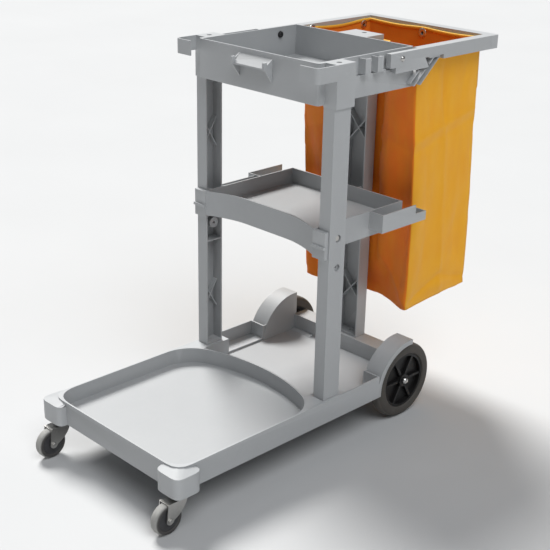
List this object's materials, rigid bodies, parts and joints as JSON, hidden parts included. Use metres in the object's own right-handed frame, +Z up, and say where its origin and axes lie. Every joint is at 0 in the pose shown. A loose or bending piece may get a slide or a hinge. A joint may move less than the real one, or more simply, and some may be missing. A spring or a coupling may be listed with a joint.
{
  "type": "housekeeping cart",
  "caption": "Moulded housekeeping cart with front tray, middle shelf, top tray, tip-up frame with a vinyl waste bag, swivel casters and rear wheels.",
  "frame": {"origin": "on the floor under the middle of the cart's bounding box", "axes": "+Y towards the waste bag, +X to the right of a person who stands at the front tray and looks at the bag, +Z up"},
  "size_m": [0.516, 1.137, 0.968],
  "materials": {
    "grey_plastic": "fine grain",
    "black_plastic": "satin",
    "hub_grey": "satin",
    "zinc": "zinc plated",
    "tyre_rubber": "matt",
    "caster_rubber": "matt",
    "vinyl": "coated cloth"
  },
  "bodies": {
    "cart": {"platform": "grey_plastic", "front_post_left": "grey_plastic", "front_post_right": "grey_plastic", "rear_post": "grey_plastic", "mid_shelf": "grey_plastic", "top_frame": "grey_plastic", "top_screw_left": "zinc", "top_screw_right": "zinc", "top_screw_rear": "zinc", "foot_screw_left": "zinc", "foot_screw_right": "zinc", "foot_screw_rear": "zinc", "shelf_screw_left": "zinc", "shelf_screw_right": "zinc", "pivot_bolt_left": "zinc", "pivot_bolt_right": "zinc", "pivot_nut_left": "black_plastic", "pivot_nut_right": "black_plastic", "rear_axle": "zinc", "axle_cap_left": "zinc", "axle_cap_right": "zinc", "caster_stem_left": "zinc", "caster_stem_right": "zinc"},
    "bag_lid": {"bag_frame": "grey_plastic", "bag": "vinyl", "bag_stud_left_front": "zinc", "bag_stud_left_rear": "zinc", "bag_stud_right_front": "zinc", "bag_stud_right_rear": "zinc", "bag_stud_back": "zinc"},
    "rear_wheel_left": {"wheel_tyre_left": "tyre_rubber", "wheel_hub_left": "black_plastic"},
    "caster_left": {"caster_fork_left": "zinc", "caster_bolt_left": "zinc", "caster_nut_left": "zinc"},
    "caster_wheel_left": {"caster_hub_left": "hub_grey", "caster_tyre_left": "caster_rubber"},
    "rear_wheel_right": {"wheel_tyre_right": "tyre_rubber", "wheel_hub_right": "black_plastic"},
    "caster_right": {"caster_fork_right": "zinc", "caster_bolt_right": "zinc", "caster_nut_right": "zinc"},
    "caster_wheel_right": {"caster_hub_right": "hub_grey", "caster_tyre_right": "caster_rubber"}
  },
  "joints": [
    {"name": "bag_frame_tip", "type": "hinge", "parent": "cart", "child": "bag_lid", "pos_m": [0, 0.19655, 0.949], "axis": [1, 0, 0], "range_deg": [0, 90]},
    {"name": "rear_wheel_spin_left", "type": "hinge", "parent": "cart", "child": "rear_wheel_left", "pos_m": [-0.2085, 0.27055, 0.1016], "axis": [1, 0, 0], "continuous": true},
    {"name": "caster_swivel_left", "type": "hinge", "parent": "cart", "child": "caster_left", "pos_m": [-0.222, -0.49745, 0.08], "axis": [0, 0, 1], "continuous": true},
    {"name": "caster_wheel_spin_left", "type": "hinge", "parent": "caster_left", "child": "caster_wheel_left", "pos_m": [-0.222, -0.53045, 0.0381], "axis": [1, 0, 0], "continuous": true},
    {"name": "rear_wheel_spin_right", "type": "hinge", "parent": "cart", "child": "rear_wheel_right", "pos_m": [0.2085, 0.27055, 0.1016], "axis": [1, 0, 0], "continuous": true},
    {"name": "caster_swivel_right", "type": "hinge", "parent": "cart", "child": "caster_right", "pos_m": [0.222, -0.49745, 0.08], "axis": [0, 0, 1], "continuous": true},
    {"name": "caster_wheel_spin_right", "type": "hinge", "parent": "caster_right", "child": "caster_wheel_right", "pos_m": [0.222, -0.53045, 0.0381], "axis": [1, 0, 0], "continuous": true}
  ]
}
